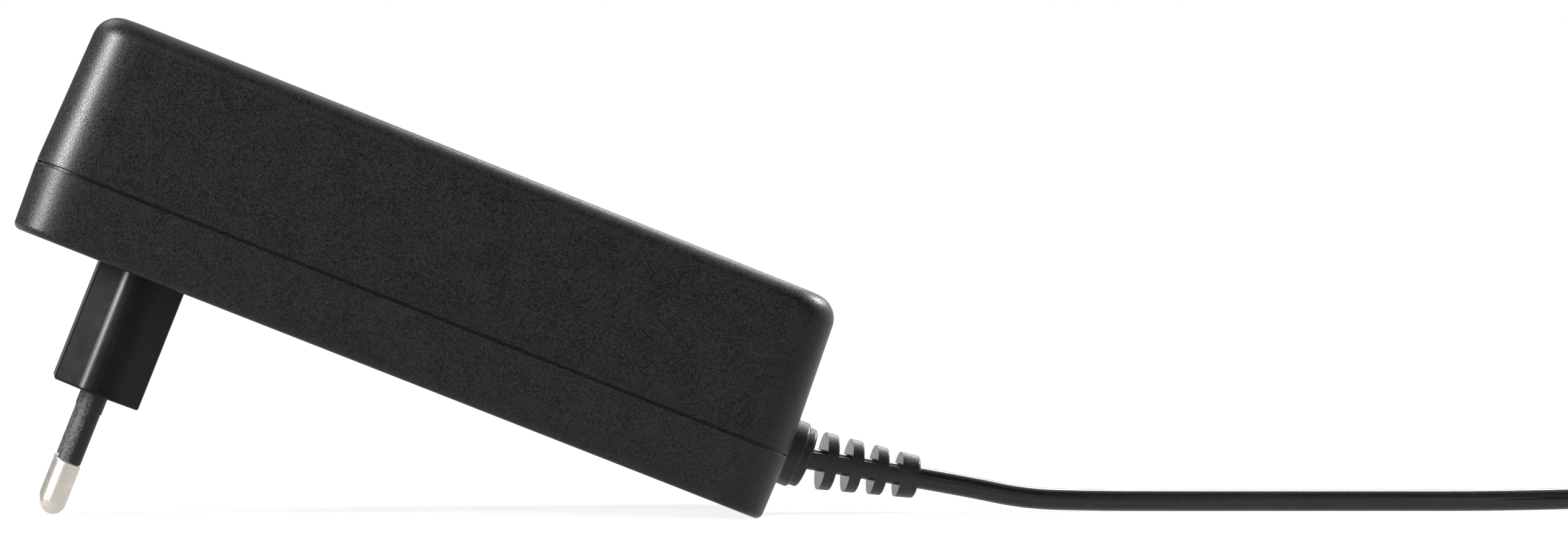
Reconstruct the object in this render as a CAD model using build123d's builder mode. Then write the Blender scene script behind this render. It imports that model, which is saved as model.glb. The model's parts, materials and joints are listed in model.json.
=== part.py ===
from build123d import *
import math
import os

os.makedirs("parts", exist_ok=True)

# A wall plug power adapter: a long two-shell case with a flat two-pin plug near one end
# and a slotted strain relief with a low-voltage lead at the other.
# All of it is drawn upright: X runs from the plug end to the lead end, Y across the case,
# Z away from the pins, and the seam of the two shells lies in the plane Z = 0.
# It is then laid on the table as it comes to rest, on its pin tips and one lower edge,
# and the free lead is drawn on that table.

# Case
upper_height = 24.3
lower_height = 10.5
corner_radius = 8.0
upper_draft = 2.3
lower_draft = 2.0
top_edge_radius = 3.8
bottom_edge_radius = 1.1
wall = 2.4
seam_gap = 0.4
seam_chamfer = 0.1
skin = 0.65
tongue_height = 2.0
fit = 0.05
weld = 0.5

# Plug block of the flat two-pin plug
plug_from_end = 21.0
block_width = 13.4
block_span = 35.3
block_length = 18.8
block_nose_radius = 4.2
block_corner_radius = 0.9
block_rim_radius = 0.35
block_wall = 2.2
nose_thickness = 6.0
flange_margin = 2.0
flange_thickness = 1.6

# Plug pins, which lean towards each other
pin_spacing_base = 18.6
pin_spacing_tip = 17.5
pin_length = 19.2
metal_length = 8.4
pin_radius = 2.0
shank_radius = 1.45
shoulder_radius = 0.25
sleeve_radius = 1.84
sleeve_collar_radius = 1.97
sleeve_collar_length = 2.6
sleeve_seat = 1.0
tail_length = 5.0
mains_wire_radius = 0.9
mains_wire_rise = 7.0
mains_wire_bend = 3.0

# Circuit board and the common sizes of what stands on it
board_gap = 3.6
board_side_gap = 1.4
board_end_gap = 6.9
board_thickness = 1.6
board_top = -1.5
post_radius = 2.4
post_inset = 3.2
leg = 0.7
leg_height = 1.5
small_round = 0.8

# Components whose sizes and gaps set the board's length and width, from the plug end
fuse_x = 14.0
fuse_inset = 11.2
fuse_radius = 2.6
fuse_cap_extra = 0.25
x_capacitor_gap = 2.15
x_capacitor_inset = 11.7
x_capacitor_length = 8.0
rectifier_gap = 1.7
rectifier_inset = 11.2
rectifier_thickness = 3.6
bulk_gap = 3.7
bulk_edge_gap = 0.4
bulk_radius = 8.0
bulk_length = 28.0
thermistor_inset = 13.2
thermistor_thickness = 4.0
choke_gap = 1.8
choke_inset = 12.2
choke_core_outer = 7.0
choke_wire = 1.2
plate_thickness = 2.0
tab_thickness = 1.3
package_depth = 3.3
package_edge_gap = 3.4
primary_plate_width = 22.0
secondary_plate_width = 17.0
secondary_plate_inset = 3.7
core_gap = 1.4
core_edge_gap = 2.2
core_width = 24.0
core_span = 24.0
plate_gap = 2.0
disc_gap = 0.6
disc_back = 2.0
disc_thickness = 2.6
can_gap = 1.5
can_edge_gap = 2.2
can_side_gap = 1.0
can_radius = 4.0
drum_nest = 0.9
drum_edge_gap = 0.2
drum_radius = 3.6

# Lead and strain relief
cord_radius = 1.7
relief_rise = 11.5
relief_swing = 3.0
relief_twist = 5.0
relief_knee = 0.6
relief_bend = 22.0
flange_radius = 5.2
flange_out = 4.3
flange_lift = 0.95
step_radius = 4.7
step_out = 1.35
step_lift = 0.95
disc_rim_radius = 0.5
rib_thickness = 1.87
rib_pitch = 4.05
rib_count = 3
rib_rim_radius = 0.3
first_rib = 7.5
cone_start = 3.6
cone_start_radius = 4.8
cone_end_radius = 3.3
collar_length = 2.95
collar_rim_radius = 0.45
web_height = 2.35
neck_radius = 3.4
catch_radius = 4.6
catch_thickness = 2.0
inner_lead_length = 4.0
core_wire_radius = 0.55
core_wire_rise = 3.0
core_wire_bend = 1.0
core_wire_step = 1.6
core_wire_inset = 4.6
core_wire_gap = 0.25

# Coil of spare lead, its tie and the connector
coil_radius = 20.0
coil_columns = 3
coil_layers = 3
coil_skin = 0.3
tie_thickness = 0.6
tie_arc = 14.0
tie_angle = 215.0
coil_x = 197.0
coil_y = -18.4
exit_run = 8.0
tail_run = 9.0
tail_drift = 0.4
grip_radius = 5.0
grip_length = 24.0
grip_neck_length = 7.0
grip_neck_radius = 2.7
grip_neck_flare = 0.6
grip_shoulder_radius = 4.2
grip_shoulder_length = 1.5
grip_crown_length = 4.0
grip_end_chamfer = 0.6
barrel_radius = 2.75
barrel_wall = 0.4
barrel_length = 9.5
barrel_seat = 3.0
contact_radius = 1.45
contact_bore_radius = 1.05
contact_recess = 0.6

# Values worked out from the ones above: places along the board, then its size, then the case's
x_capacitor_x = fuse_x + fuse_radius + fuse_cap_extra + x_capacitor_gap + x_capacitor_length / 2
rectifier_x = x_capacitor_x + x_capacitor_length / 2 + rectifier_gap + rectifier_thickness / 2
bulk_x = rectifier_x + rectifier_thickness / 2 + bulk_gap + bulk_length / 2
choke_reach = choke_core_outer + choke_wire
choke_x = fuse_x + thermistor_thickness / 2 + choke_gap + choke_reach
primary_plate_x = choke_x + choke_reach + choke_gap + plate_thickness / 2
package_reach = plate_thickness / 2 + tab_thickness + package_depth
transformer_x = primary_plate_x + package_reach + core_gap + core_width / 2
secondary_plate_x = transformer_x + core_width / 2 + plate_gap + plate_thickness / 2
can_x = bulk_x + bulk_length / 2 + can_gap + can_radius
drum_x = can_x + can_radius + drum_radius - drum_nest
board_length = max(
    secondary_plate_x + package_reach + package_edge_gap,
    drum_x + drum_radius + drum_edge_gap,
)
board_width = (
    bulk_edge_gap + 2 * bulk_radius + 2 * disc_gap + disc_thickness + core_span + core_edge_gap
)
board_edge = board_width / 2
core_y = board_edge - core_edge_gap - core_span / 2
core_side = core_y - core_span / 2
can_y = can_edge_gap + can_radius - board_edge
can_pitch = 2 * can_radius + can_side_gap
seam_width = board_width + 2 * (board_side_gap + wall)
seam_length = plug_from_end + block_width / 2 + board_gap + board_length + board_end_gap + wall
plug_x = -seam_length / 2 + plug_from_end
case_end = seam_length / 2
case_floor = -lower_height + wall
roof = upper_height - wall
block_bottom = -lower_height - block_length
sleeve_length = pin_length - metal_length
board_bottom = board_top - board_thickness
board_left = plug_x + block_width / 2 + board_gap
board_x = board_left + board_length / 2
rib_zone = first_rib + rib_count * rib_pitch
cone_length = rib_zone + collar_length


def case_outline(height, inset, facing):
    # Rounded outline of the case at one height, inset from its outer surface at the seam
    plane = Plane(origin=(0, 0, height), x_dir=(1, 0, 0), z_dir=(0, 0, facing))
    with BuildSketch(plane) as outline:
        RectangleRounded(seam_length - 2 * inset, seam_width - 2 * inset, corner_radius - inset)
    return outline.sketch


def block_outline(height, grow, facing):
    # Flat plug outline: two long flats with pointed, rounded ends
    half = block_width / 2
    point = block_span / 2 + block_nose_radius * (math.sqrt(2) - 1)
    plane = Plane(origin=(plug_x, 0, height), x_dir=(1, 0, 0), z_dir=(0, 0, facing))
    with BuildSketch(plane) as outline:
        with BuildLine():
            Polyline(
                (0, -point),
                (half, half - point),
                (half, point - half),
                (0, point),
                (-half, point - half),
                (-half, half - point),
                close=True,
            )
        make_face()
        corners = outline.vertices().group_by(Axis.Y)
        fillet(corners[1] + corners[2], block_corner_radius)
        noses = outline.vertices().sort_by(Axis.Y)
        fillet([noses[0], noses[-1]], block_nose_radius)
        if grow:
            offset(amount=grow)
    return outline.sketch


def pin_axis(side):
    # Axis of one pin, from the plug block's end face outwards
    lean = math.atan((pin_spacing_base - pin_spacing_tip) / 2 / pin_length)
    start = (plug_x, side * pin_spacing_base / 2, block_bottom)
    return Axis(start, (0, -side * math.sin(lean), -math.cos(lean)))


def pin_plane(side):
    # Plane through a pin's axis: its X is the radius, its Y runs out to the tip
    axis = pin_axis(side)
    return Plane(origin=axis.position, x_dir=(1, 0, 0), z_dir=Vector(1, 0, 0).cross(axis.direction))


def make_pin(side):
    with BuildPart() as pin:
        with BuildSketch(pin_plane(side)):
            with BuildLine():
                Polyline(
                    (0, pin_length),
                    (0, -nose_thickness - tail_length),
                    (shank_radius, -nose_thickness - tail_length),
                    (shank_radius, sleeve_length),
                    (pin_radius - shoulder_radius, sleeve_length),
                    (pin_radius, sleeve_length + shoulder_radius),
                    (pin_radius, pin_length - pin_radius),
                )
                CenterArc((0, pin_length - pin_radius), pin_radius, 0, 90)
            make_face()
        revolve(axis=pin_axis(side))
    return pin


def make_sleeve(side):
    slope = sleeve_collar_radius - sleeve_radius
    with BuildPart() as sleeve:
        with BuildSketch(pin_plane(side)):
            with BuildLine():
                Polyline(
                    (shank_radius, -sleeve_seat),
                    (sleeve_collar_radius, -sleeve_seat),
                    (sleeve_collar_radius, sleeve_collar_length),
                    (sleeve_radius, sleeve_collar_length + slope),
                    (sleeve_radius, sleeve_length),
                    (shank_radius, sleeve_length),
                    close=True,
                )
            make_face()
        revolve(axis=pin_axis(side))
    return sleeve


def make_wire(points, radius, bend):
    with BuildPart() as wire:
        with BuildLine() as route:
            FilletPolyline(*points, radius=bend)
        with BuildSketch(Plane(origin=route.line @ 0, z_dir=route.line % 0)):
            Circle(radius)
        sweep()
    return wire


def make_mains_wire(side):
    # From the pin's tail, up over the flange and down onto the board
    axis = pin_axis(side)
    tail = axis.position - axis.direction * (nose_thickness + tail_length)
    knee = tail + axis.direction * ((board_top + mains_wire_rise - tail.Z) / axis.direction.Z)
    pad_x = board_left + 2 * mains_wire_bend
    return make_wire(
        [tail, knee, (pad_x, knee.Y, knee.Z), (pad_x, knee.Y, board_top)],
        mains_wire_radius,
        mains_wire_bend,
    )


live_pin = make_pin(-1)
neutral_pin = make_pin(1)
live_pin_sleeve = make_sleeve(-1)
neutral_pin_sleeve = make_sleeve(1)
live_wire = make_mains_wire(-1)
neutral_wire = make_mains_wire(1)

# The upper shell, hollow, with a rebate in its rim and four pillars that hold the board down
with BuildPart() as upper_case:
    extrude(case_outline(seam_gap / 2, 0, 1), amount=upper_height - seam_gap / 2, taper=upper_draft)
    fillet(upper_case.faces().sort_by(Axis.Z)[-1].edges(), top_edge_radius)
    chamfer(upper_case.faces().sort_by(Axis.Z)[0].edges(), seam_chamfer)
    extrude(
        case_outline(seam_gap / 2, wall, 1),
        amount=roof - seam_gap / 2,
        taper=upper_draft,
        mode=Mode.SUBTRACT,
    )
    extrude(case_outline(0, skin, 1), amount=tongue_height, mode=Mode.SUBTRACT)
    with BuildSketch(Plane((board_x, 0, board_top))):
        with GridLocations(board_length - 2 * post_inset, board_width - 2 * post_inset, 2, 2):
            Circle(post_radius)
    extrude(amount=roof + weld - board_top)
    with BuildSketch(Plane((case_end, 0, 0), x_dir=(0, 1, 0), z_dir=(1, 0, 0))):
        Circle(neck_radius + fit)
    extrude(amount=2 * wall, both=True, mode=Mode.SUBTRACT)

# The lower shell, with the tongue that locates the upper one, the plug's window and board posts
with BuildPart() as lower_case:
    extrude(case_outline(-seam_gap / 2, 0, -1), amount=lower_height - seam_gap / 2, taper=lower_draft)
    fillet(lower_case.faces().sort_by(Axis.Z)[0].edges(), bottom_edge_radius)
    chamfer(lower_case.faces().sort_by(Axis.Z)[-1].edges(), seam_chamfer)
    extrude(
        case_outline(-seam_gap / 2 - weld, skin + fit, 1),
        amount=tongue_height + seam_gap / 2 + weld,
    )
    extrude(
        case_outline(tongue_height, wall, -1),
        amount=tongue_height + seam_gap / 2,
        mode=Mode.SUBTRACT,
    )
    extrude(
        case_outline(-seam_gap / 2, wall, -1),
        amount=-case_floor - seam_gap / 2,
        taper=lower_draft,
        mode=Mode.SUBTRACT,
    )
    with BuildSketch(Plane((board_x, 0, case_floor - weld))):
        with GridLocations(board_length - 2 * post_inset, board_width - 2 * post_inset, 2, 2):
            Circle(post_radius)
    extrude(amount=board_bottom - case_floor + weld)
    extrude(block_outline(-lower_height - weld, fit, 1), amount=wall + 2 * weld, mode=Mode.SUBTRACT)
    with BuildSketch(Plane((case_end, 0, 0), x_dir=(0, 1, 0), z_dir=(1, 0, 0))):
        Circle(neck_radius + fit)
    extrude(amount=2 * wall, both=True, mode=Mode.SUBTRACT)

# The plug block, a hollow moulding that hangs through the window by its flange,
# with the pins moulded into its nose
with BuildPart() as plug_block:
    extrude(block_outline(case_floor, 0, -1), amount=case_floor - block_bottom)
    fillet(plug_block.faces().sort_by(Axis.Z)[0].edges(), block_rim_radius)
    extrude(block_outline(case_floor, flange_margin, 1), amount=flange_thickness)
    extrude(
        block_outline(case_floor + flange_thickness, -block_wall, -1),
        amount=case_floor + flange_thickness - block_bottom - nose_thickness,
        mode=Mode.SUBTRACT,
    )
    add(live_pin.part, mode=Mode.SUBTRACT)
    add(neutral_pin.part, mode=Mode.SUBTRACT)
    add(live_pin_sleeve.part, mode=Mode.SUBTRACT)
    add(neutral_pin_sleeve.part, mode=Mode.SUBTRACT)

# The circuit board rests on the posts of the lower shell
with BuildPart() as circuit_board:
    with BuildSketch(Plane((board_x, 0, board_bottom))):
        Rectangle(board_length, board_width)
    extrude(amount=board_thickness)


def on_board(x, y, height=0.0):
    # A point on the board: x from its plug end, y from its middle line
    return Plane((board_left + x, y, board_top + height))


def stand(place, *legs):
    # Legs from a component's underside down to the board
    with Locations(place.location):
        with Locations(*legs):
            Box(leg, leg, place.origin.Z - board_top, align=(Align.CENTER, Align.CENTER, Align.MAX))


# Mains side: fuse, inrush thermistor, interference capacitor and choke, rectifier, reservoir
fuse_length = 13.0
fuse_cap_length = 3.0
with BuildPart() as fuse:
    place = on_board(fuse_x, fuse_inset - board_edge, leg_height + fuse_radius)
    with BuildSketch(Plane(place.origin, z_dir=(0, 1, 0))):
        Circle(fuse_radius)
    extrude(amount=fuse_length / 2, both=True)
    for side in (-1, 1):
        with BuildSketch(Plane(place.origin + (0, side * fuse_length / 2, 0), z_dir=(0, -side, 0))):
            Circle(fuse_radius + fuse_cap_extra)
        extrude(amount=fuse_cap_length)
    stand(place, (0, (fuse_cap_length - fuse_length) / 2), (0, (fuse_length - fuse_cap_length) / 2))

thermistor_radius = 4.5
thermistor_leg_pitch = 5.0
with BuildPart() as inrush_thermistor:
    place = on_board(fuse_x, board_edge - thermistor_inset, leg_height + thermistor_radius)
    with BuildSketch(Plane(place.origin, z_dir=(1, 0, 0))):
        Circle(thermistor_radius)
    extrude(amount=thermistor_thickness / 2, both=True)
    fillet(inrush_thermistor.edges().filter_by(GeomType.CIRCLE), small_round)
    stand(place, (0, -thermistor_leg_pitch / 2), (0, thermistor_leg_pitch / 2))

x_capacitor_width = 16.0
x_capacitor_height = 13.0
with BuildPart() as x_capacitor:
    with BuildSketch(on_board(x_capacitor_x, x_capacitor_inset - board_edge)):
        RectangleRounded(x_capacitor_length, x_capacitor_width, small_round)
    extrude(amount=x_capacitor_height)
    chamfer(x_capacitor.faces().sort_by(Axis.Z)[-1].edges(), small_round / 2)

choke_core_inner = 4.0
choke_core_height = 6.0
choke_arc = 140.0
choke_place = on_board(choke_x, board_edge - choke_inset, choke_core_height / 2 + choke_wire)
with BuildPart() as line_choke_core:
    with BuildSketch(choke_place.offset(-choke_core_height / 2)):
        Circle(choke_core_outer)
        Circle(choke_core_inner, mode=Mode.SUBTRACT)
    extrude(amount=choke_core_height)

with BuildPart() as line_choke_windings:
    for start in (0, 180):
        turned = choke_place.rotated((0, 0, start - choke_arc / 2))
        with BuildSketch(Plane(choke_place.origin, x_dir=turned.x_dir, z_dir=-turned.y_dir)):
            with Locations(((choke_core_inner + choke_core_outer) / 2, 0)):
                RectangleRounded(
                    choke_core_outer - choke_core_inner + 2 * choke_wire,
                    choke_core_height + 2 * choke_wire,
                    choke_wire / 2,
                )
                Rectangle(
                    choke_core_outer - choke_core_inner,
                    choke_core_height,
                    mode=Mode.SUBTRACT,
                )
        revolve(axis=Axis(choke_place.origin, (0, 0, 1)), revolution_arc=choke_arc)

rectifier_width = 15.0
rectifier_height = 10.0
rectifier_corner = 2.5
rectifier_leg_pitch = 3.8
rectifier_leg_count = 4
with BuildPart() as bridge_rectifier:
    place = on_board(rectifier_x, rectifier_inset - board_edge, leg_height)
    with BuildSketch(place):
        Rectangle(rectifier_thickness, rectifier_width)
    extrude(amount=rectifier_height)
    end_corner = bridge_rectifier.edges().filter_by(Axis.X).sort_by(Axis.Z)[-2:].sort_by(Axis.Y)[0]
    chamfer(end_corner, rectifier_corner)
    middle_leg = (rectifier_leg_count - 1) / 2
    stand(place, *[(0, rectifier_leg_pitch * (step - middle_leg)) for step in range(rectifier_leg_count)])

bulk_groove = 0.5
groove_place = 3.0
with BuildPart() as bulk_capacitor:
    place = on_board(bulk_x, bulk_edge_gap + bulk_radius - board_edge, bulk_radius)
    with BuildSketch(Plane(place.origin, x_dir=(1, 0, 0), z_dir=(0, -1, 0))):
        with Locations((0, bulk_radius / 2)):
            Rectangle(bulk_length, bulk_radius)
        with Locations((groove_place - bulk_length / 2, bulk_radius + bulk_groove)):
            Circle(2 * bulk_groove, mode=Mode.SUBTRACT)
    revolve(axis=Axis(place.origin, (1, 0, 0)))
    ends = bulk_capacitor.faces().sort_by(Axis.X)
    fillet([ends[0].outer_wire().edges()[0], ends[-1].outer_wire().edges()[0]], small_round)

# Transformer: a flat pair of E cores whose middle leg carries the bobbin along Y
core_thickness = 8.0
core_leg = 7.0
core_back = 3.7
bobbin_wall = 0.8
winding_corner_radius = 2.0
bobbin_height = 19.0
bobbin_clearance = 0.1
winding_margin = 0.5
transformer_place = on_board(transformer_x, core_y, bobbin_height / 2)
window_length = core_span - 2 * core_back
window_width = (core_width - core_leg) / 2 - core_back
with BuildPart() as transformer_core:
    with BuildSketch(transformer_place.offset(-core_thickness / 2)):
        Rectangle(core_width, core_span)
        for side in (-1, 1):
            with Locations((side * (core_leg + window_width) / 2, 0)):
                Rectangle(window_width, window_length, mode=Mode.SUBTRACT)
    extrude(amount=core_thickness)

bobbin_width = core_leg + 2 * window_width - 2 * bobbin_clearance
bobbin_plane = Plane(transformer_place.origin, x_dir=(1, 0, 0), z_dir=(0, -1, 0))
with BuildPart() as transformer_bobbin:
    with BuildSketch(bobbin_plane):
        RectangleRounded(core_leg + 2 * bobbin_wall, core_thickness + 2 * bobbin_wall, small_round)
    extrude(amount=window_length / 2, both=True)
    for side in (-1, 1):
        with BuildSketch(bobbin_plane.offset(side * (window_length - bobbin_wall) / 2)):
            RectangleRounded(bobbin_width, bobbin_height, small_round)
        extrude(amount=bobbin_wall / 2, both=True)
    with BuildSketch(bobbin_plane):
        Rectangle(core_leg, core_thickness)
    extrude(amount=core_span, both=True, mode=Mode.SUBTRACT)

with BuildPart() as transformer_winding:
    with BuildSketch(bobbin_plane):
        RectangleRounded(
            bobbin_width - winding_margin,
            bobbin_height - 2 * winding_margin,
            winding_corner_radius,
        )
        RectangleRounded(
            core_leg + 2 * bobbin_wall,
            core_thickness + 2 * bobbin_wall,
            small_round,
            mode=Mode.SUBTRACT,
        )
    extrude(amount=window_length / 2 - bobbin_wall, both=True)

# Power semiconductors: each is screwed flat to its own heatsink plate
plate_height = 18.0
package_width = 10.0
package_height = 9.0
tab_height = 15.5
package_stand = 2.0
package_leg_pitch = 2.54
screw_radius = 1.45
screw_head_radius = 2.75
screw_head_height = 2.0
screw_rise = 12.6


def make_plate(x, y, width):
    with BuildPart() as plate:
        with BuildSketch(on_board(x, y)):
            Rectangle(plate_thickness, width)
        extrude(amount=plate_height)
        with BuildSketch(Plane(on_board(x, y, package_stand + screw_rise).origin, z_dir=(1, 0, 0))):
            Circle(screw_radius)
        extrude(amount=plate_thickness, both=True, mode=Mode.SUBTRACT)
    return plate


def make_package(x, y):
    face = x + plate_thickness / 2
    with BuildPart() as package:
        place = on_board(face + tab_thickness / 2, y, package_stand)
        with BuildSketch(place):
            Rectangle(tab_thickness, package_width)
        extrude(amount=tab_height)
        with BuildSketch(on_board(face + tab_thickness + package_depth / 2, y, package_stand)):
            Rectangle(package_depth, package_width)
        extrude(amount=package_height)
        with BuildSketch(Plane(on_board(face, y, package_stand + screw_rise).origin, z_dir=(1, 0, 0))):
            Circle(screw_radius + fit)
        extrude(amount=2 * tab_thickness, both=True, mode=Mode.SUBTRACT)
        legs = on_board(face + tab_thickness + package_depth / 2, y, package_stand)
        stand(legs, (0, -package_leg_pitch), (0, 0), (0, package_leg_pitch))
    return package


def make_plate_screw(x, y):
    # Head on the tab, shank through the tab and the plate
    face = x + plate_thickness / 2 + tab_thickness
    centre = on_board(face, y, package_stand + screw_rise).origin
    with BuildPart() as screw:
        with BuildSketch(Plane(centre, z_dir=(1, 0, 0))):
            Circle(screw_head_radius)
        extrude(amount=screw_head_height)
        with BuildSketch(Plane(centre, z_dir=(-1, 0, 0))):
            Circle(screw_radius)
        extrude(amount=tab_thickness + plate_thickness)
    return screw


primary_plate = (primary_plate_x, core_side + primary_plate_width / 2)
secondary_plate = (
    secondary_plate_x,
    core_side + secondary_plate_inset + secondary_plate_width / 2,
)
primary_heatsink = make_plate(*primary_plate, primary_plate_width)
secondary_heatsink = make_plate(*secondary_plate, secondary_plate_width)
switching_transistor = make_package(*primary_plate)
output_diode = make_package(*secondary_plate)
with BuildPart() as heatsink_screws:
    add(make_plate_screw(*primary_plate).part)
    add(make_plate_screw(*secondary_plate).part)


can_height = 14.0
can_groove = 0.33


def make_can(x, y):
    # An upright electrolytic capacitor with a rolled groove near its foot
    with BuildPart() as can:
        with BuildSketch(Plane(on_board(x, y).origin, x_dir=(1, 0, 0), z_dir=(0, -1, 0))):
            with Locations((can_radius / 2, can_height / 2)):
                Rectangle(can_radius, can_height)
            with Locations((can_radius + can_groove, groove_place)):
                Circle(2 * can_groove, mode=Mode.SUBTRACT)
        revolve(axis=Axis(on_board(x, y).origin, (0, 0, 1)))
        fillet(can.faces().sort_by(Axis.Z)[-1].edges(), small_round)
    return can


output_capacitor = make_can(can_x, can_y)
filter_capacitor = make_can(can_x, can_y + can_pitch)

drum_at = (drum_x, can_y + can_pitch / 2)
drum_waist = 3.0
drum_height = 10.0
drum_flange = 1.2
with BuildPart() as output_choke:
    with BuildSketch(on_board(*drum_at)):
        Circle(drum_radius)
    extrude(amount=drum_flange)
    with BuildSketch(on_board(*drum_at)):
        Circle(drum_waist)
    extrude(amount=drum_height)
    with BuildSketch(on_board(*drum_at, drum_height - drum_flange)):
        Circle(drum_radius)
    extrude(amount=drum_flange)

disc_radius = 3.5
disc_y = core_side - disc_gap - disc_thickness / 2
with BuildPart() as y_capacitor:
    place = on_board(transformer_x - disc_back, disc_y, leg_height + disc_radius)
    with BuildSketch(Plane(place.origin, z_dir=(0, 1, 0))):
        Circle(disc_radius)
    extrude(amount=disc_thickness / 2, both=True)
    fillet(y_capacitor.edges().filter_by(GeomType.CIRCLE), small_round)
    stand(place, (-disc_radius / 2, 0), (disc_radius / 2, 0))


chip_lead_pitch = 1.27
chip_lead_width = 0.42
chip_lead_thickness = 0.4
chip_lead_reach = 1.0


def make_chip(x, y, length, width, height, leads_per_side):
    # A small package on the underside of the board, with flat leads along two sides
    with BuildPart() as chip:
        with BuildSketch(Plane((board_left + x, y, board_bottom), z_dir=(0, 0, -1))):
            Rectangle(length, width)
        extrude(amount=height)
        with BuildSketch(Plane((board_left + x, y, board_bottom), z_dir=(0, 0, -1))):
            with GridLocations(chip_lead_pitch, width + chip_lead_reach, leads_per_side, 2):
                Rectangle(chip_lead_width, 2 * chip_lead_reach)
        extrude(amount=chip_lead_thickness)
    return chip


control_chip = make_chip(x=44, y=6, length=5.0, width=4.0, height=1.6, leads_per_side=4)
optocoupler = make_chip(x=64, y=0, length=4.4, width=6.5, height=2.1, leads_per_side=2)

# The lead passes through the relief and the wall, and ends inside the case as two cores
relief_along = Vector(
    math.cos(math.radians(relief_rise)) * math.cos(math.radians(relief_swing)),
    math.cos(math.radians(relief_rise)) * math.sin(math.radians(relief_swing)),
    math.sin(math.radians(relief_rise)),
)
relief_start = Vector(case_end + relief_knee, 0, 0)
relief_tip = relief_start + relief_along * cone_length
relief_plane = Plane(origin=relief_start, x_dir=(0, 1, 0), z_dir=relief_along)
web_plane = relief_plane.rotated((0, 0, relief_twist))
catch_face = case_end - wall - catch_radius * math.tan(math.radians(upper_draft)) - fit
lead_inner_end = Vector(catch_face - catch_thickness - inner_lead_length, 0, 0)

with BuildPart() as lead_in:
    with BuildLine() as lead_path:
        FilletPolyline(lead_inner_end, relief_start, relief_tip, radius=relief_bend)
    with BuildSketch(Plane(lead_inner_end, x_dir=(0, 1, 0), z_dir=(1, 0, 0))):
        Circle(cord_radius)
    sweep()


def cone_radius(along):
    # Outer radius of the tapered part at a distance from the relief's start
    share = (along - cone_start) / (cone_length - cone_start)
    return cone_start_radius + (cone_end_radius - cone_start_radius) * share


def turned_ring(low, high, rim_radius):
    # A solid turned about the relief's axis, tapered as the cone, with rounded rims
    with BuildPart() as ring:
        with BuildSketch(Plane(relief_start, x_dir=relief_plane.x_dir, z_dir=-relief_plane.y_dir)):
            with BuildLine():
                Polyline((0, low), (cone_radius(low), low), (cone_radius(high), high), (0, high), close=True)
            outline = make_face()
            if rim_radius:
                fillet(outline.vertices().sort_by(Axis(relief_start, relief_plane.x_dir))[-2:], rim_radius)
        revolve(axis=Axis(relief_start, relief_along))
    return ring


# Slotted sleeve of the strain relief: two side webs of the cone, with the ribs and the collar on them
with BuildPart() as slotted_sleeve:
    add(turned_ring(cone_start, cone_length, 0).part)
    with BuildSketch(web_plane):
        Rectangle(4 * flange_radius, web_height)
    extrude(amount=cone_length, mode=Mode.INTERSECT)
    for step in range(rib_count):
        rib_start = first_rib + step * rib_pitch
        add(turned_ring(rib_start, rib_start + rib_thickness, rib_rim_radius).part)
    add(turned_ring(rib_zone, cone_length, collar_rim_radius).part)

# Strain relief: the sleeve, a stepped flange against the case, a neck and a catch inside the wall
with BuildPart() as strain_relief:
    with BuildSketch(Plane((case_end, 0, flange_lift), z_dir=(1, 0, 0))):
        Circle(flange_radius)
    extrude(amount=flange_out)
    fillet(strain_relief.edges().group_by(Axis.X)[-1], disc_rim_radius)
    with BuildSketch(Plane((case_end + flange_out, 0, step_lift), z_dir=(1, 0, 0))):
        Circle(step_radius)
    extrude(amount=step_out)
    fillet(strain_relief.edges().group_by(Axis.X)[-1], disc_rim_radius)
    with BuildSketch(Plane((case_end, 0, 0), z_dir=(-1, 0, 0))):
        Circle(neck_radius)
    extrude(amount=case_end - catch_face)
    with BuildSketch(Plane((catch_face, 0, 0), z_dir=(-1, 0, 0))):
        Circle(catch_radius)
    extrude(amount=catch_thickness)
    add(slotted_sleeve.part)
    add(lead_in.part, mode=Mode.SUBTRACT)


def make_core_wire(side, lane):
    # From the end of the lead's jacket, up and over onto the board
    start = lead_inner_end + (0, side * cord_radius / 2, 0)
    pad_x = board_left + board_length - core_wire_inset
    return make_wire(
        [
            start,
            start - (core_wire_step, 0, 0),
            (start.X - 2 * core_wire_step, lane, core_wire_rise),
            (pad_x, lane, core_wire_rise),
            (pad_x, lane, board_top),
        ],
        core_wire_radius,
        core_wire_bend,
    )


package_side = secondary_plate[1] - package_width / 2
positive_wire = make_core_wire(-1, -2 * cord_radius)
negative_wire = make_core_wire(1, package_side - core_wire_gap - core_wire_radius)

# Resting attitude: a table that touches both pin tips and the lower edge at the lead end
pin_tip = pin_axis(1).position + pin_axis(1).direction * (pin_length - pin_radius)
lower_slope = math.radians(lower_draft)
edge_x = (
    case_end
    - (lower_height - seam_gap / 2 - bottom_edge_radius) * math.tan(lower_slope)
    - bottom_edge_radius / math.cos(lower_slope)
)
run = edge_x - pin_tip.X
drop = bottom_edge_radius - lower_height - pin_tip.Z
tilt = math.degrees(
    math.atan2(drop, run) + math.asin((pin_radius - bottom_edge_radius) / math.hypot(run, drop))
)

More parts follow.
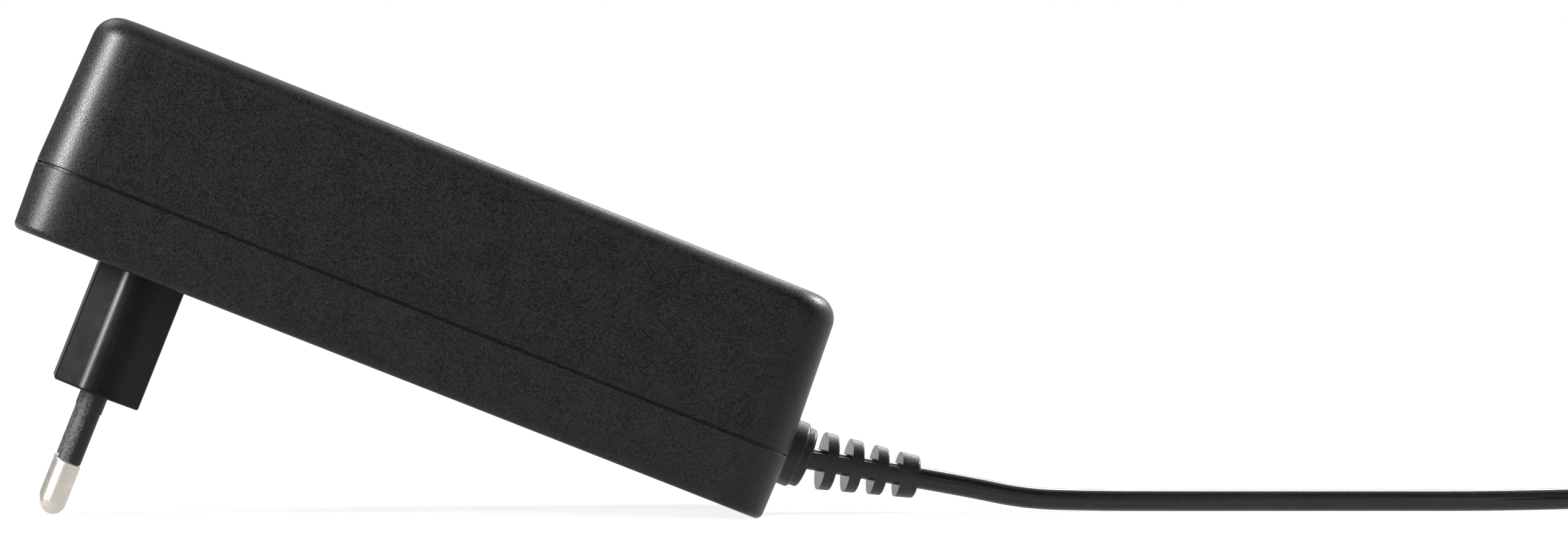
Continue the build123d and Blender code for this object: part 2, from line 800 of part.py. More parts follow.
adapter = {
    "upper_case": upper_case,
    "lower_case": lower_case,
    "plug_block": plug_block,
    "live_pin": live_pin,
    "neutral_pin": neutral_pin,
    "live_pin_sleeve": live_pin_sleeve,
    "neutral_pin_sleeve": neutral_pin_sleeve,
    "live_wire": live_wire,
    "neutral_wire": neutral_wire,
    "circuit_board": circuit_board,
    "fuse": fuse,
    "inrush_thermistor": inrush_thermistor,
    "x_capacitor": x_capacitor,
    "line_choke_core": line_choke_core,
    "line_choke_windings": line_choke_windings,
    "bridge_rectifier": bridge_rectifier,
    "bulk_capacitor": bulk_capacitor,
    "transformer_core": transformer_core,
    "transformer_bobbin": transformer_bobbin,
    "transformer_winding": transformer_winding,
    "primary_heatsink": primary_heatsink,
    "secondary_heatsink": secondary_heatsink,
    "switching_transistor": switching_transistor,
    "output_diode": output_diode,
    "heatsink_screws": heatsink_screws,
    "output_capacitor": output_capacitor,
    "filter_capacitor": filter_capacitor,
    "output_choke": output_choke,
    "y_capacitor": y_capacitor,
    "control_chip": control_chip,
    "optocoupler": optocoupler,
    "strain_relief": strain_relief,
    "lead_in": lead_in,
    "positive_wire": positive_wire,
    "negative_wire": negative_wire,
}
tilted = Location((0, 0, 0), (0, tilt, 0))
boxes = [piece.part.moved(tilted).bounding_box() for piece in adapter.values()]
middle_x = (min(box.min.X for box in boxes) + max(box.max.X for box in boxes)) / 2
table_z = (tilted * Location(pin_tip)).position.Z - pin_radius
at_rest = Location((-middle_x, 0, -table_z)) * tilted
for name, piece in adapter.items():
    piece.part.move(at_rest)

# The free lead, on the table: out of the relief, down and along to the coil of spare lead
cord_exit = Plane(at_rest * Plane(relief_tip, z_dir=relief_along).location)
print("tilt", round(tilt, 3), "cord exit", cord_exit.origin, "along", cord_exit.z_dir)
# Both ends of the coiled length lie just under the skin of the ring
coil_low = tie_thickness + cord_radius + coil_skin
outer_turn = coil_radius + cord_radius * (coil_columns - 1) - coil_skin
top_turn = tie_thickness + cord_radius * (2 * coil_layers - 1) - coil_skin
cord_points = [
    cord_exit.origin,
    cord_exit.origin + cord_exit.z_dir * exit_run,
    Vector(86.3, 2.0, 2.05),
    Vector(96.3, 2.6, 1.75),
    Vector(110, 3.2, cord_radius),
    Vector(126, 3.7, cord_radius),
    Vector(143, 4.1, cord_radius),
    Vector(161, 4.4, cord_radius),
    Vector(179, coil_y + outer_turn - 0.1, cord_radius + 0.4),
    Vector(coil_x, coil_y + outer_turn, coil_low),
]
tail_points = [
    Vector(coil_x, coil_y + outer_turn, top_turn),
    Vector(coil_x + tail_run, coil_y + outer_turn, top_turn),
    Vector(coil_x + 2 * tail_run, coil_y + outer_turn + tail_drift, grip_radius),
    Vector(coil_x + 3 * tail_run, coil_y + outer_turn + tail_drift, grip_radius),
]


def corner_radii(points):
    # As large an arc at each corner as its two runs allow
    radii = []
    for before, corner, after in zip(points, points[1:], points[2:]):
        arriving = corner - before
        leaving = after - corner
        half_turn = math.radians(arriving.get_angle(leaving)) / 2
        radii.append(0.45 * min(arriving.length, leaving.length) / math.tan(half_turn))
    return radii


def make_cord(points):
    with BuildPart() as tube:
        with BuildLine() as route:
            FilletPolyline(*points, radius=corner_radii(points))
        with BuildSketch(Plane(origin=route.line @ 0, z_dir=route.line % 0)):
            Circle(cord_radius)
        sweep()
    length = sum(edge.length for edge in route.edges())
    section = math.pi * cord_radius**2
    print("cord radii", [round(radius) for radius in corner_radii(points)])
    print("cord length", round(length, 2), "volume ratio", round(tube.part.volume / length / section, 5))
    return tube


output_cord = make_cord(cord_points)
cord_tail = make_cord(tail_points)

coil_axis = Axis((coil_x, coil_y, 0), (0, 0, 1))
coil_width = 2 * cord_radius * coil_columns
coil_height = 2 * cord_radius * coil_layers
coil_middle = tie_thickness + coil_height / 2
with BuildPart() as cord_coil:
    with BuildSketch(Plane((coil_x, coil_y, 0), x_dir=(1, 0, 0), z_dir=(0, -1, 0))):
        with Locations((coil_radius, coil_middle)):
            RectangleRounded(coil_width, coil_height, cord_radius)
    revolve(axis=coil_axis)
    add(output_cord.part, mode=Mode.SUBTRACT)
    add(cord_tail.part, mode=Mode.SUBTRACT)

with BuildPart() as cord_tie:
    turned = Plane((coil_x, coil_y, 0)).rotated((0, 0, tie_angle - tie_arc / 2))
    with BuildSketch(Plane(turned.origin, x_dir=turned.x_dir, z_dir=-turned.y_dir)):
        with Locations((coil_radius, coil_middle)):
            RectangleRounded(
                coil_width + 2 * tie_thickness,
                coil_height + 2 * tie_thickness,
                cord_radius + tie_thickness,
            )
            RectangleRounded(coil_width, coil_height, cord_radius, mode=Mode.SUBTRACT)
    revolve(axis=coil_axis, revolution_arc=tie_arc)

# Low-voltage connector at the end of the lead, lying beside the coil
grip_start = tail_points[-1]
grip_axis = Axis(grip_start, (1, 0, 0))
grip_plane = Plane(grip_start, x_dir=(0, 1, 0), z_dir=(0, 0, -1))
grip_face = grip_neck_length + grip_length
barrel_foot = grip_face - barrel_seat
barrel_tip = grip_face + barrel_length
with BuildPart() as connector_grip:
    with BuildSketch(grip_plane):
        with BuildLine():
            Polyline(
                (0, 0),
                (grip_neck_radius, 0),
                (grip_neck_radius + grip_neck_flare, grip_neck_length),
                (grip_shoulder_radius, grip_neck_length + grip_shoulder_length),
                (grip_radius, grip_neck_length + grip_crown_length),
                (grip_radius, grip_face - grip_end_chamfer),
                (grip_radius - grip_end_chamfer, grip_face),
                (barrel_radius - barrel_wall / 2, grip_face),
                (barrel_radius - barrel_wall / 2, barrel_foot),
                (0, barrel_foot),
                close=True,
            )
        make_face()
    revolve(axis=grip_axis)


def make_ring(inner, outer, low, high):
    # A turned sleeve, disc or rod on the connector's axis
    with BuildPart() as ring:
        with BuildSketch(grip_plane):
            with Locations(((inner + outer) / 2, (low + high) / 2)):
                Rectangle(outer - inner, high - low)
        revolve(axis=grip_axis)
    return ring


with BuildPart() as connector_barrel:
    for outer, low, high in (
        (barrel_radius - barrel_wall / 2, barrel_foot, grip_face),
        (barrel_radius, grip_face, barrel_tip),
    ):
        add(make_ring(barrel_radius - barrel_wall, outer, low, high).part)
connector_insulator = make_ring(
    contact_radius, barrel_radius - barrel_wall, barrel_foot, barrel_tip - contact_recess
)
connector_contact = make_ring(
    contact_bore_radius, contact_radius, barrel_foot, barrel_tip - contact_recess
)

lead = {
    "output_cord": output_cord,
    "cord_coil": cord_coil,
    "cord_tail": cord_tail,
    "cord_tie": cord_tie,
    "connector_grip": connector_grip,
    "connector_barrel": connector_barrel,
    "connector_insulator": connector_insulator,
    "connector_contact": connector_contact,
}
for name, piece in {**adapter, **lead}.items():
    piece.part.label = name
    export_step(piece.part, f"parts/{name}.step")
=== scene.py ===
import json
import math
import random

import bpy
from mathutils import Matrix, Vector


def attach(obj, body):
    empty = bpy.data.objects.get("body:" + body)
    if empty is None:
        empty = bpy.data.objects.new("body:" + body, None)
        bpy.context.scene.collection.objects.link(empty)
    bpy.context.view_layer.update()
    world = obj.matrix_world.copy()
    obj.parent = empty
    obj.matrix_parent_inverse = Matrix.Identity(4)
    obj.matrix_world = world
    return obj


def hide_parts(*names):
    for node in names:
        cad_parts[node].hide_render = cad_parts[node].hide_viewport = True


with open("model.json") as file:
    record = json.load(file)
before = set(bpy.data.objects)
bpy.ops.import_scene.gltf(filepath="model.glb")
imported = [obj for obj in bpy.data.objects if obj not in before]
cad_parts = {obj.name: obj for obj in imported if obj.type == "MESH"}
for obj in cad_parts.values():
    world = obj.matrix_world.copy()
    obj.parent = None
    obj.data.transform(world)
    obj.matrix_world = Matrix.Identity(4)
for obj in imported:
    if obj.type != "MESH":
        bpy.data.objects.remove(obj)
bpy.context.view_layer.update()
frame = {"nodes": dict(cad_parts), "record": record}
nodes = frame["nodes"]
print("frame loaded:", len(nodes), "nodes")


def addObject(name, data):
    obj = bpy.data.objects.new(name, data)
    bpy.context.scene.collection.objects.link(obj)
    return obj


# Camera, at the photograph's viewing angle
cameraSettings = {
    "place": (-0.06835, -0.875, 0.04247),
    "yaw": 7.574,  # degrees towards +X
    "down": 0.307,
    "roll": 0.417,
    "focal": 9245.7,  # in pixels of the frame's width
    "frameWidth": 2530,
    "sensor": 36.0,
    "clip": (0.05, 60.0),
}


def makeCamera(s):
    data = bpy.data.cameras.new("camera")
    data.sensor_width = s["sensor"]
    data.lens = s["focal"] / s["frameWidth"] * s["sensor"]
    data.clip_start, data.clip_end = s["clip"]
    camera = addObject("camera", data)
    yaw, down, roll = (math.radians(s[key]) for key in ("yaw", "down", "roll"))
    ahead = Vector(
        (math.sin(yaw) * math.cos(down), math.cos(yaw) * math.cos(down), -math.sin(down))
    )
    level = Vector((math.cos(yaw), -math.sin(yaw), 0))
    up = level.cross(ahead)
    right = level * math.cos(roll) + up * math.sin(roll)
    top = up * math.cos(roll) - level * math.sin(roll)
    turn = Matrix((right, top, -ahead)).transposed().to_4x4()
    camera.matrix_world = Matrix.Translation(s["place"]) @ turn
    bpy.context.scene.camera = camera


makeCamera(cameraSettings)

# Light: softboxes at the left, overhead and at the right, strips behind and beside the camera,
# a card behind and one at the left, and a weak fill. A spread narrows a lamp's beam, in degrees.
lightSettings = {
    "softboxLeft": {
        "place": (-0.71, -0.27, 0.47),
        "aim": (-0.06, 0, 0.05),
        "size": (0.14, 0.45),
        "watts": 17.0,
    },
    "softboxTop": {
        "place": (-0.40, 0.75, 0.85),
        "aim": (0, 0, 0.03),
        "size": (0.5, 0.4),
        "watts": 2.0,
    },
    "stripBehind": {
        "place": (0.20, 0.24, 0.25),
        "aim": (0.165, 0, 0),
        "size": (0.22, 0.16),
        "watts": 0.11,
        "spread": 40,
    },
    "softboxRight": {
        "place": (0.70, 0.38, 0.53),
        "aim": (0.05, 0, 0.04),
        "size": (0.10, 0.10),
        "watts": 0.3,
        "spread": 40,
    },
    "stripFront": {
        "place": (-0.26, -1.15, 0.10),
        "aim": (-0.05, 0, 0.04),
        "size": (0.05, 0.9),
        "watts": 0.5,
    },
    "stripAside": {
        "place": (0.50, -0.95, 0.10),
        "aim": (-0.05, 0, 0.03),
        "size": (0.04, 0.7),
        "watts": 0.5,
    },
    "cardBehind": {
        "place": (0.0, 0.25, 0.024),
        "aim": (0.055, 0, 0.015),
        "size": (0.06, 0.044),
        "watts": 0.022,
    },
    "cardLeft": {
        "place": (-0.62, -0.78, 0.20),
        "aim": (-0.05, 0, 0.04),
        "size": (0.35, 0.6),
        "watts": 0.8,
    },
    "fillFront": {
        "place": (0.1, -1.2, 1.1),
        "aim": (0, 0, 0.04),
        "size": (0.6, 0.6),
        "watts": 2.0,
    },
}
fullSpread = 180


def makeLamp(name, s):
    data = bpy.data.lights.new(name, "AREA")
    data.shape = "RECTANGLE"
    data.size, data.size_y = s["size"]
    data.energy = s["watts"]
    data.spread = math.radians(s.get("spread", fullSpread))
    lamp = addObject(name, data)
    lamp.location = s["place"]
    lamp.visible_camera = False
    ahead = Vector(s["aim"]) - Vector(s["place"])
    lamp.rotation_euler = ahead.to_track_quat("-Z", "Y").to_euler()


for lampName, lampSettings in lightSettings.items():
    makeLamp(lampName, lampSettings)


def clearTree(owner):
    owner.use_nodes = True
    owner.node_tree.nodes.clear()
    return owner.node_tree


# One shader node: a socket given as a value is linked, anything else is set on the input
def addNode(tree, kind, inputs=None, **options):
    node = tree.nodes.new(kind)
    for key, value in options.items():
        setattr(node, key, value)
    for key, value in (inputs or {}).items():
        if isinstance(value, bpy.types.NodeSocket):
            tree.links.new(value, node.inputs[key])
        else:
            node.inputs[key].default_value = value
    return node


def addRamp(tree, value, fromLow, fromHigh, low, high):
    limits = {"From Min": fromLow, "From Max": fromHigh, "To Min": low, "To Max": high}
    return addNode(tree, "ShaderNodeMapRange", {"Value": value, **limits}).outputs["Result"]


def mixShaders(tree, share, first, second):
    return addNode(tree, "ShaderNodeMixShader", {0: share, 1: first, 2: second}).outputs[0]


def opaque(colour):
    return (*colour, 1)


# World: white behind the object for the camera and in reflections, dim round the camera
worldSettings = {
    "ambient": 0.3,
    "front": 0.06,  # the mirrored white straight before the object, growing to 1 behind it
    "fade": (-0.25, 0.30),
    "left": 0.2,  # the share of it at the left, growing to 1 at the right
    "leftFade": (-0.15, 0.25),
}


def makeWorld(s):
    world = bpy.data.worlds.new("studio")
    tree = clearTree(world)
    path = addNode(tree, "ShaderNodeLightPath").outputs
    towards = addNode(tree, "ShaderNodeTexCoord").outputs["Generated"]
    parts = addNode(tree, "ShaderNodeSeparateXYZ", {0: towards}).outputs
    behind = addRamp(tree, parts["Y"], *s["fade"], s["front"], 1.0)
    aside = addRamp(tree, parts["X"], *s["leftFade"], s["left"], 1.0)
    mirrored = addNode(tree, "ShaderNodeMath", {0: behind, 1: aside}, operation="MULTIPLY")

    def background(strength):
        sockets = {"Color": opaque((1, 1, 1)), "Strength": strength}
        return addNode(tree, "ShaderNodeBackground", sockets).outputs[0]

    ambient, sweep, seen = map(background, (s["ambient"], mirrored.outputs[0], 1.0))
    rays = {0: path["Is Glossy Ray"], 1: path["Is Transmission Ray"]}
    mirror = addNode(tree, "ShaderNodeMath", rays, operation="MAXIMUM")
    inner = mixShaders(tree, mirror.outputs[0], ambient, sweep)
    outer = mixShaders(tree, path["Is Camera Ray"], inner, seen)
    addNode(tree, "ShaderNodeOutputWorld", {"Surface": outer})
    bpy.context.scene.world = world


makeWorld(worldSettings)
bpy.context.scene.view_settings.view_transform = "Standard"

# Floor: white paper that keeps the object's shadow
floorSettings = {
    "half": 6.0,
    "paper": 0.85,
    "shadowed": 0.22,  # the share of the floor's white that lamps give, and that a shadow takes
    "near": 0.86,
    "nearReach": (0.10, 0.75),  # its own white grows from near to full between these distances
    "front": 0.42,  # its white in reflections grows from front to rear over the fade
    "rear": 0.9,
    "fade": (-0.16, 0.06),
}


def makeFloor(s):
    mesh = bpy.data.meshes.new("floor")
    half = s["half"]
    corners = [(-half, -half, 0), (half, -half, 0), (half, half, 0), (-half, half, 0)]
    mesh.from_pydata(corners, [], [(0, 1, 2, 3)])
    floor = addObject("floor", mesh)
    material = bpy.data.materials.new("paleFloor")
    tree = clearTree(material)
    path = addNode(tree, "ShaderNodeLightPath").outputs
    where = addNode(tree, "ShaderNodeTexCoord").outputs["Object"]
    parts = addNode(tree, "ShaderNodeSeparateXYZ", {0: where}).outputs
    reach = addNode(tree, "ShaderNodeVectorMath", {0: where}, operation="LENGTH")
    white = addRamp(tree, reach.outputs["Value"], *s["nearReach"], s["near"], 1.0)
    mirrored = addRamp(tree, parts["Y"], *s["fade"], s["front"], s["rear"])

    def diffuse(grey):
        sockets = {"Color": opaque((grey,) * 3)}
        return addNode(tree, "ShaderNodeBsdfDiffuse", sockets).outputs[0]

    def glow(strength):
        return addNode(tree, "ShaderNodeEmission", {"Strength": strength}).outputs[0]

    lit = {0: diffuse(s["shadowed"]), 1: glow(white)}
    seen = addNode(tree, "ShaderNodeAddShader", lit).outputs[0]
    inner = mixShaders(tree, path["Is Glossy Ray"], diffuse(s["paper"]), glow(mirrored))
    outer = mixShaders(tree, path["Is Camera Ray"], inner, seen)
    addNode(tree, "ShaderNodeOutputMaterial", {"Surface": outer})
    mesh.materials.append(material)


makeFloor(floorSettings)
print("camera, light and floor ready")

# What a finish has where its own settings, below, say nothing
finishDefaults = {
    "metal": 0.0,
    "gloss": 0.5,
    "coat": 0.0,
    "coatRoughness": 0.1,
    "stretch": (1, 1, 1),
    "cloudScale": 60.0,
    "cloudDetail": 3.0,
    "cloudRoughness": 0.55,
    "grainDetail": 4.0,
    "grainRoughness": 0.6,
    "grainInColour": 0.3,
    "cloudsInColour": 0.5,
    "depth": 0.00005,
}
noiseRange = (0.3, 0.7)  # nearly all values of a noise lie between these
fullRange = (0.0, 1.0)


# One finish: two mixed colours, uneven roughness and a grain with its own size
def makeFinish(name, settings):
    s = {**finishDefaults, **settings}
    material = bpy.data.materials.new(name)
    tree = clearTree(material)
    where = addNode(tree, "ShaderNodeTexCoord").outputs["Object"]
    mapping = addNode(tree, "ShaderNodeMapping", {"Vector": where, "Scale": s["stretch"]})
    stretched = mapping.outputs["Vector"]

    def noise(kind):
        sockets = {key: s[kind + key] for key in ("Scale", "Detail", "Roughness")}
        return addNode(tree, "ShaderNodeTexNoise", {"Vector": stretched, **sockets}).outputs["Fac"]

    def add(first, second):
        return addNode(tree, "ShaderNodeMath", {0: first, 1: second}).outputs[0]

    def mixColours(share, first, second):
        sockets = {"Factor": share, "A": first, "B": second}
        return addNode(tree, "ShaderNodeMix", data_type="RGBA", inputs=sockets).outputs["Result"]

    clouds, grain = noise("cloud"), noise("grain")
    speckle = grain
    if "cells" in s:  # tiny cells with a random value each, as a spark-eroded mould leaves them
        scale, weight = s["cells"]
        cells = addNode(tree, "ShaderNodeTexVoronoi", {"Vector": stretched, "Scale": scale})
        parts = addNode(tree, "ShaderNodeSeparateXYZ", {0: cells.outputs["Color"]}).outputs
        speckle = add(addRamp(tree, parts["X"], *fullRange, -weight, weight), grain)
    # the grain shows in the colour too, over slow clouds
    fine, slow = s["grainInColour"], s["cloudsInColour"]
    fineShare = addRamp(tree, speckle, *noiseRange, -fine, fine)
    slowShare = addRamp(tree, clouds, *noiseRange, 0.5 - slow, 0.5 + slow)
    colours = opaque(s["colour"]), opaque(s["secondColour"])
    colour = mixColours(add(fineShare, slowShare), *colours)
    matt = addRamp(tree, speckle, *noiseRange, *s["roughness"])
    relief = {"Strength": s["bump"], "Distance": s["depth"], "Height": grain}
    bump = addNode(tree, "ShaderNodeBump", relief)
    if "smoothSideWithPaintedShade" in s:  # past its parting line the moulding is smooth, and its darker colour there is painted shade of the half turned away from the left lamp
        side = s["smoothSideWithPaintedShade"]
        sockets = {0: where, 1: side["across"]}
        across = addNode(tree, "ShaderNodeVectorMath", sockets, operation="DOT_PRODUCT")
        line = side["at"] - side["blur"], side["at"] + side["blur"]
        smoothShadedHalf = addRamp(tree, across.outputs["Value"], *line, *fullRange)
        # painted shade: the smooth half takes a darker colour, standing in for the shade on the
        # side away from the left lamp
        colour = mixColours(smoothShadedHalf, colour, opaque(side["colour"]))
        sockets = {"Factor": smoothShadedHalf, "A": matt, "B": side["roughness"]}
        matt = addNode(tree, "ShaderNodeMix", sockets).outputs["Result"]
        strength = addRamp(tree, smoothShadedHalf, *fullRange, s["bump"], side["bump"])
        tree.links.new(strength, bump.inputs["Strength"])
    sockets = {
        "Base Color": colour,
        "Roughness": matt,
        "Normal": bump.outputs["Normal"],
        "Metallic": s["metal"],
        "Specular IOR Level": s["gloss"],
        "Coat Weight": s["coat"],
        "Coat Roughness": s["coatRoughness"],
    }
    skin = addNode(tree, "ShaderNodeBsdfPrincipled", sockets)
    addNode(tree, "ShaderNodeOutputMaterial", {"Surface": skin.outputs[0]})
    return material


wireSkin = {"roughness": (0.28, 0.38), "grainScale": 800, "bump": 0.08}
finishSettings = {
    "case_plastic": {
        "colour": (0.0002, 0.0002, 0.0003), "secondColour": (0.0138, 0.0138, 0.0141),
        "gloss": 0.38, "roughness": (0.31, 0.46), "bump": 0.35, "depth": 0.0001,
        "grainScale": 3600, "grainDetail": 2, "grainRoughness": 0.8, "cells": (5600, 0.16),
        "grainInColour": 0.46, "cloudsInColour": 0.12, "cloudScale": 220,
    },
    "block_plastic": {
        "colour": (0.003, 0.003, 0.0035), "secondColour": (0.005, 0.005, 0.0055),
        "gloss": 0.18, "roughness": (0.25, 0.29), "grainScale": 500, "bump": 0.02,
    },
    "sleeve_plastic": {
        "colour": (0.012, 0.012, 0.013), "secondColour": (0.06, 0.06, 0.061),
        "gloss": 0.3, "roughness": (0.35, 0.65), "bump": 0.6, "depth": 0.0002,
        "grainScale": 2400, "grainDetail": 2, "grainRoughness": 0.8,
        "grainInColour": 0.8, "cloudsInColour": 0.2, "cloudScale": 700,
        # the smooth half of the sleeve is real; its darker colour is painted shade
        "smoothSideWithPaintedShade": {
            "across": (0.9324, 0, -0.36144), "at": -0.05995, "blur": 0.00010,
            "colour": (0.013, 0.013, 0.014), "roughness": 0.42, "bump": 0.05,
        },
    },
    "pin_metal": {
        "colour": (0.82, 0.77, 0.69), "secondColour": (0.74, 0.69, 0.61), "metal": 0.9,
        "roughness": (0.24, 0.32), "grainScale": 700, "bump": 0.02, "cloudScale": 300,
    },
    "relief_rubber": {
        "colour": (0.002, 0.002, 0.0025), "secondColour": (0.016, 0.016, 0.0165),
        "roughness": (0.26, 0.42), "bump": 0.5, "depth": 0.0001,
        "grainScale": 4000, "grainDetail": 2, "grainRoughness": 0.9,
        "grainInColour": 1.0, "cloudsInColour": 0.15, "cloudScale": 500,
    },
    "cord_jacket": {
        "colour": (0.006, 0.006, 0.007), "secondColour": (0.009, 0.009, 0.010),
        "roughness": (0.2, 0.28), "grainScale": 1200, "bump": 0.08, "cloudScale": 150,
    },
    "tie_plastic": {
        "colour": (0.020, 0.020, 0.021), "secondColour": (0.028, 0.028, 0.029), "gloss": 0.4,
        "roughness": (0.45, 0.6), "grainScale": 1600, "bump": 0.3,
    },
    "grip_plastic": {
        "colour": (0.012, 0.012, 0.013), "secondColour": (0.018, 0.018, 0.019), "gloss": 0.4,
        "roughness": (0.4, 0.5), "grainScale": 2500, "bump": 0.35,
    },
    "connector_metal": {
        "colour": (0.82, 0.80, 0.76), "secondColour": (0.74, 0.71, 0.66), "metal": 1.0,
        "roughness": (0.15, 0.28), "grainScale": 1200, "bump": 0.05,
    },
    "insulator_plastic": {
        "colour": (0.010, 0.010, 0.010), "secondColour": (0.016, 0.016, 0.016),
        "roughness": (0.25, 0.35), "grainScale": 900, "bump": 0.08,
    },
    "board_laminate": {
        "colour": (0.015, 0.10, 0.035), "secondColour": (0.025, 0.14, 0.05), "coat": 0.4,
        "roughness": (0.3, 0.42), "grainScale": 700, "bump": 0.12, "stretch": (1, 2, 1),
    },
    "wire_red": {
        "colour": (0.42, 0.02, 0.015), "secondColour": (0.5, 0.035, 0.025), **wireSkin,
    },
    "wire_brown": {
        "colour": (0.13, 0.045, 0.02), "secondColour": (0.17, 0.065, 0.03), **wireSkin,
    },
    "wire_blue": {
        "colour": (0.02, 0.08, 0.33), "secondColour": (0.035, 0.11, 0.4), **wireSkin,
    },
    "wire_black": {
        "colour": (0.012, 0.012, 0.012), "secondColour": (0.02, 0.02, 0.02), **wireSkin,
    },
    "fuse_ceramic": {
        "colour": (0.72, 0.68, 0.60), "secondColour": (0.78, 0.75, 0.68), "coat": 0.5,
        "roughness": (0.2, 0.3), "grainScale": 1500, "bump": 0.1,
    },
    "thermistor_ceramic": {
        "colour": (0.012, 0.09, 0.045), "secondColour": (0.02, 0.13, 0.07), "coat": 0.3,
        "roughness": (0.3, 0.45), "grainScale": 900, "bump": 0.3,
    },
    "film_box": {
        "colour": (0.62, 0.46, 0.04), "secondColour": (0.68, 0.52, 0.06),
        "roughness": (0.3, 0.4), "grainScale": 1400, "bump": 0.12,
    },
    "disc_ceramic": {
        "colour": (0.03, 0.10, 0.36), "secondColour": (0.045, 0.13, 0.44), "coat": 0.4,
        "roughness": (0.25, 0.4), "grainScale": 900, "bump": 0.3,
    },
    "ferrite": {
        "colour": (0.035, 0.035, 0.04), "secondColour": (0.055, 0.055, 0.06),
        "roughness": (0.5, 0.7), "grainScale": 3000, "bump": 0.4,
    },
    "copper_wire": {
        "colour": (0.50, 0.17, 0.06), "secondColour": (0.62, 0.24, 0.10), "metal": 0.8,
        "coat": 0.6, "roughness": (0.2, 0.32), "grainScale": 1200, "bump": 0.1,
    },
    "tape_yellow": {
        "colour": (0.56, 0.40, 0.03), "secondColour": (0.64, 0.48, 0.06), "coat": 0.3,
        "roughness": (0.25, 0.4), "grainScale": 350, "bump": 0.35, "stretch": (0.3, 3, 0.3),
    },
    "bobbin_plastic": {
        "colour": (0.022, 0.022, 0.022), "secondColour": (0.032, 0.032, 0.032),
        "roughness": (0.4, 0.55), "grainScale": 1500, "bump": 0.25,
    },
    "epoxy_black": {
        "colour": (0.014, 0.014, 0.014), "secondColour": (0.024, 0.024, 0.024),
        "roughness": (0.45, 0.6), "grainScale": 2600, "bump": 0.35,
    },
    "can_sleeve": {
        "colour": (0.012, 0.018, 0.045), "secondColour": (0.02, 0.028, 0.06), "coat": 0.5,
        "roughness": (0.22, 0.32), "grainScale": 600, "bump": 0.12,
    },
    "plate_aluminium": {
        "colour": (0.74, 0.74, 0.76), "secondColour": (0.66, 0.66, 0.68), "metal": 1.0,
        "roughness": (0.28, 0.42), "grainScale": 500, "bump": 0.25, "stretch": (1, 0.08, 1),
    },
    "screw_steel": {
        "colour": (0.68, 0.68, 0.70), "secondColour": (0.58, 0.58, 0.60), "metal": 1.0,
        "roughness": (0.22, 0.35), "grainScale": 1500, "bump": 0.15,
    },
}
finishes = {name: makeFinish(name, settings) for name, settings in finishSettings.items()}

# Every solid of the frame takes the finish of its own slot
for subpart in frame["record"]["subparts"]:
    solid = nodes[subpart["node"]]
    solid.data.materials.clear()
    solid.data.materials.append(finishes[subpart["material_slot"]])
print("finishes ready:", len(finishes))


# A round tube along a line of points, such as the lead
def makeTube(name, kind, spots, radius, roundness):
    data = bpy.data.curves.new(name, "CURVE")
    data.dimensions = "3D"
    line = data.splines.new(kind)
    line.points.add(len(spots) - 1)
    for point, spot in zip(line.points, spots):
        point.co = (*spot, 1)
    data.bevel_depth = radius
    data.bevel_resolution = roundness
    data.use_fill_caps = True
    return addObject(name, data), line


def place(obj, slotName):
    obj.data.materials.append(finishes[slotName])
    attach(obj, "root")


# The lead: out of the strain relief, along the table, round the coil and to its connector
cordSettings = {
    "exit": (0.068957, 0.001159, 0.005341),
    "route": [
        (0.06896, 0.00116, 0.00534),
        (0.07683, 0.00157, 0.00400),
        (0.08630, 0.00200, 0.00205),
        (0.09630, 0.00260, 0.00175),
        (0.11000, 0.00320, 0.00170),
        (0.12600, 0.00370, 0.00170),
        (0.14300, 0.00410, 0.00170),
        (0.16100, 0.00440, 0.00170),
        (0.17900, 0.00460, 0.00210),
        (0.19700, 0.00470, 0.00260),
    ],
    "tail": [
        (0.19700, 0.00470, 0.00880),
        (0.20600, 0.00470, 0.00880),
        (0.21500, 0.00510, 0.00500),
        (0.22400, 0.00510, 0.00500),
    ],
    "length": 1.2,
    "diameter": 0.0034,
    "roundness": 8,
    "smoothness": 8,
    "centre": (0.197, -0.0184),
    "coilRadius": 0.020,
    "lowest": 0.0023,
    "turns": 8,
    "stepsPerTurn": 16,
    "crossing": 0.22,  # share of a turn in which the lead moves over to its next place
    # the column and layer of each turn, in diameters from the coil's lowest middle turn
    "places": [(1, 0), (0, 0), (-1, 0), (-1, 1), (-1, 2), (0, 2), (0, 1), (1, 1), (1, 2)],
}


def coilPoints(s):
    step = 2 * math.pi / s["stepsPerTurn"]
    reach = (6 + 2 * math.cos(step)) / 8  # a quadratic spline keeps this far inside its points
    points = []
    for index in range(1, int(s["turns"] * s["stepsPerTurn"])):
        turn = index / s["stepsPerTurn"]
        number = int(turn)
        into = max(0.0, (turn - number - 1 + s["crossing"]) / s["crossing"])
        share = into * into * (3 - 2 * into)
        here = s["places"][number]
        following = s["places"][min(number + 1, len(s["places"]) - 1)]
        room = 1 / math.sqrt((1 - share) ** 2 + share**2)  # keeps crossing turns apart
        column = (here[0] + (following[0] - here[0]) * share) * room
        layer = (here[1] + (following[1] - here[1]) * share) * room
        radius = (s["coilRadius"] + column * s["diameter"]) / reach
        angle = math.pi / 2 - turn * 2 * math.pi
        points.append((
            s["centre"][0] + radius * math.cos(angle),
            s["centre"][1] + radius * math.sin(angle),
            s["lowest"] + layer * s["diameter"],
        ))
    return points


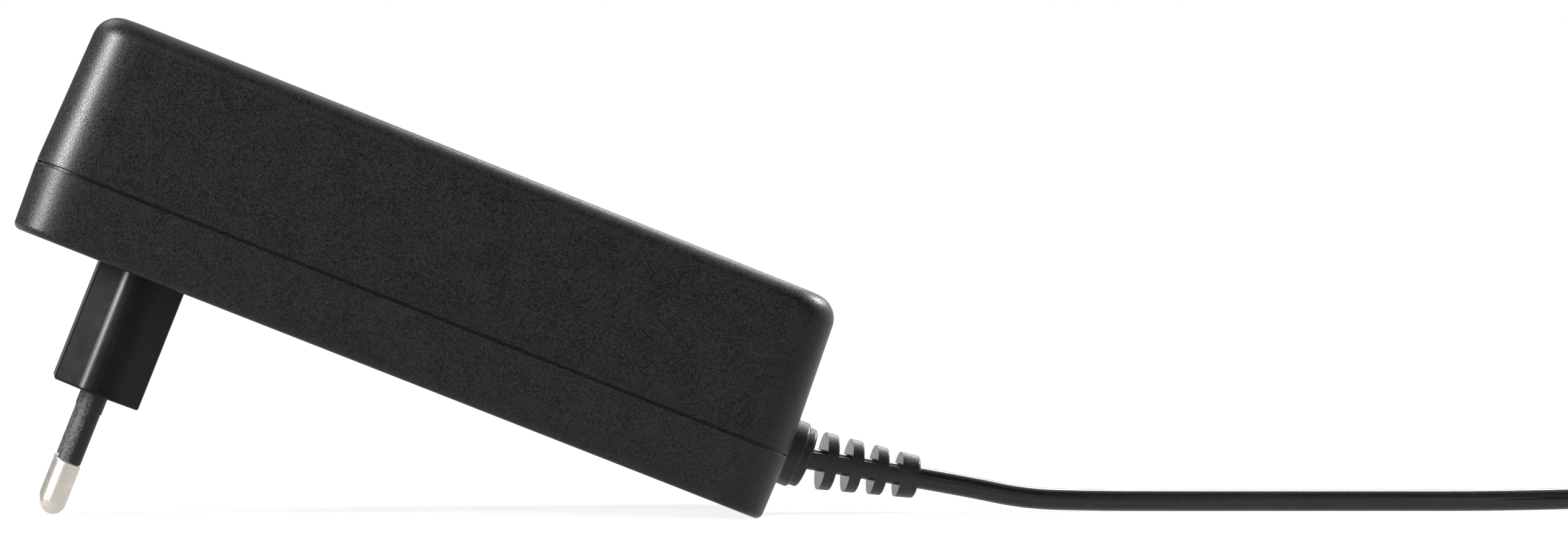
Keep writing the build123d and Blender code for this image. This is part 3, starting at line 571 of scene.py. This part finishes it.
def makeCord(s):
    points = s["route"] + coilPoints(s) + s["tail"]
    cord, line = makeTube("outputCord", "NURBS", points, s["diameter"] / 2, s["roundness"])
    line.order_u = 3  # quadratic
    line.use_endpoint_u = True
    line.resolution_u = s["smoothness"]
    place(cord, "cord_jacket")
    return cord


outputCord = makeCord(cordSettings)
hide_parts("output_cord", "cord_coil", "cord_tail")
print("lead ready")

# Flash: the thin uneven ridge that the mould leaves along the front of each pin's sleeve
flashSettings = {
    "names": {"live_pin": "nearFlash", "neutral_pin": "farFlash"},
    "radius": 0.00184,
    "thickness": 0.00007,
    "roundness": 2,
    "pinLength": 0.014125,  # from the block's face to the middle of the bare metal
    "span": (0.0034, 0.0108),
    "steps": 34,
    "angle": 4.0,  # degrees from the middle of the pin's front
    "wander": 7.0,
    "lift": (-0.4, 0.6),  # how far it stands off the sleeve, in thicknesses
    "swell": (0.35, 1.2),
    "taper": 0.5,  # the share of its thickness lost towards the metal
    "seed": 5,
}


def makeFlash(name, s, middle, axis, front):
    chance = random.Random(s["seed"])
    side = axis.cross(front)
    spots = []
    swells = []
    for step in range(s["steps"] + 1):
        share = step / s["steps"]
        along = s["span"][0] + (s["span"][1] - s["span"][0]) * share
        angle = math.radians(s["angle"] + s["wander"] * (chance.random() - 0.5) * 2)
        reach = s["radius"] + s["thickness"] * chance.uniform(*s["lift"])
        outward = front * math.cos(angle) + side * math.sin(angle)
        spots.append(middle + axis * (along - s["pinLength"]) + outward * reach)
        swells.append(chance.uniform(*s["swell"]) * (1 - s["taper"] * share))
    flash, line = makeTube(name, "POLY", spots, s["thickness"], s["roundness"])
    for point, swell in zip(line.points, swells):
        point.radius = swell
    place(flash, "sleeve_plastic")


for mount in frame["record"]["mounts"]:
    if mount["name"] in flashSettings["names"]:
        axis = Vector(mount["axis"]).normalized()
        front = Vector((0, -1, 0))
        front = (front - axis * front.dot(axis)).normalized()
        name = flashSettings["names"][mount["name"]]
        makeFlash(name, flashSettings, Vector(mount["pos_m"]), axis, front)
print("flash ready")
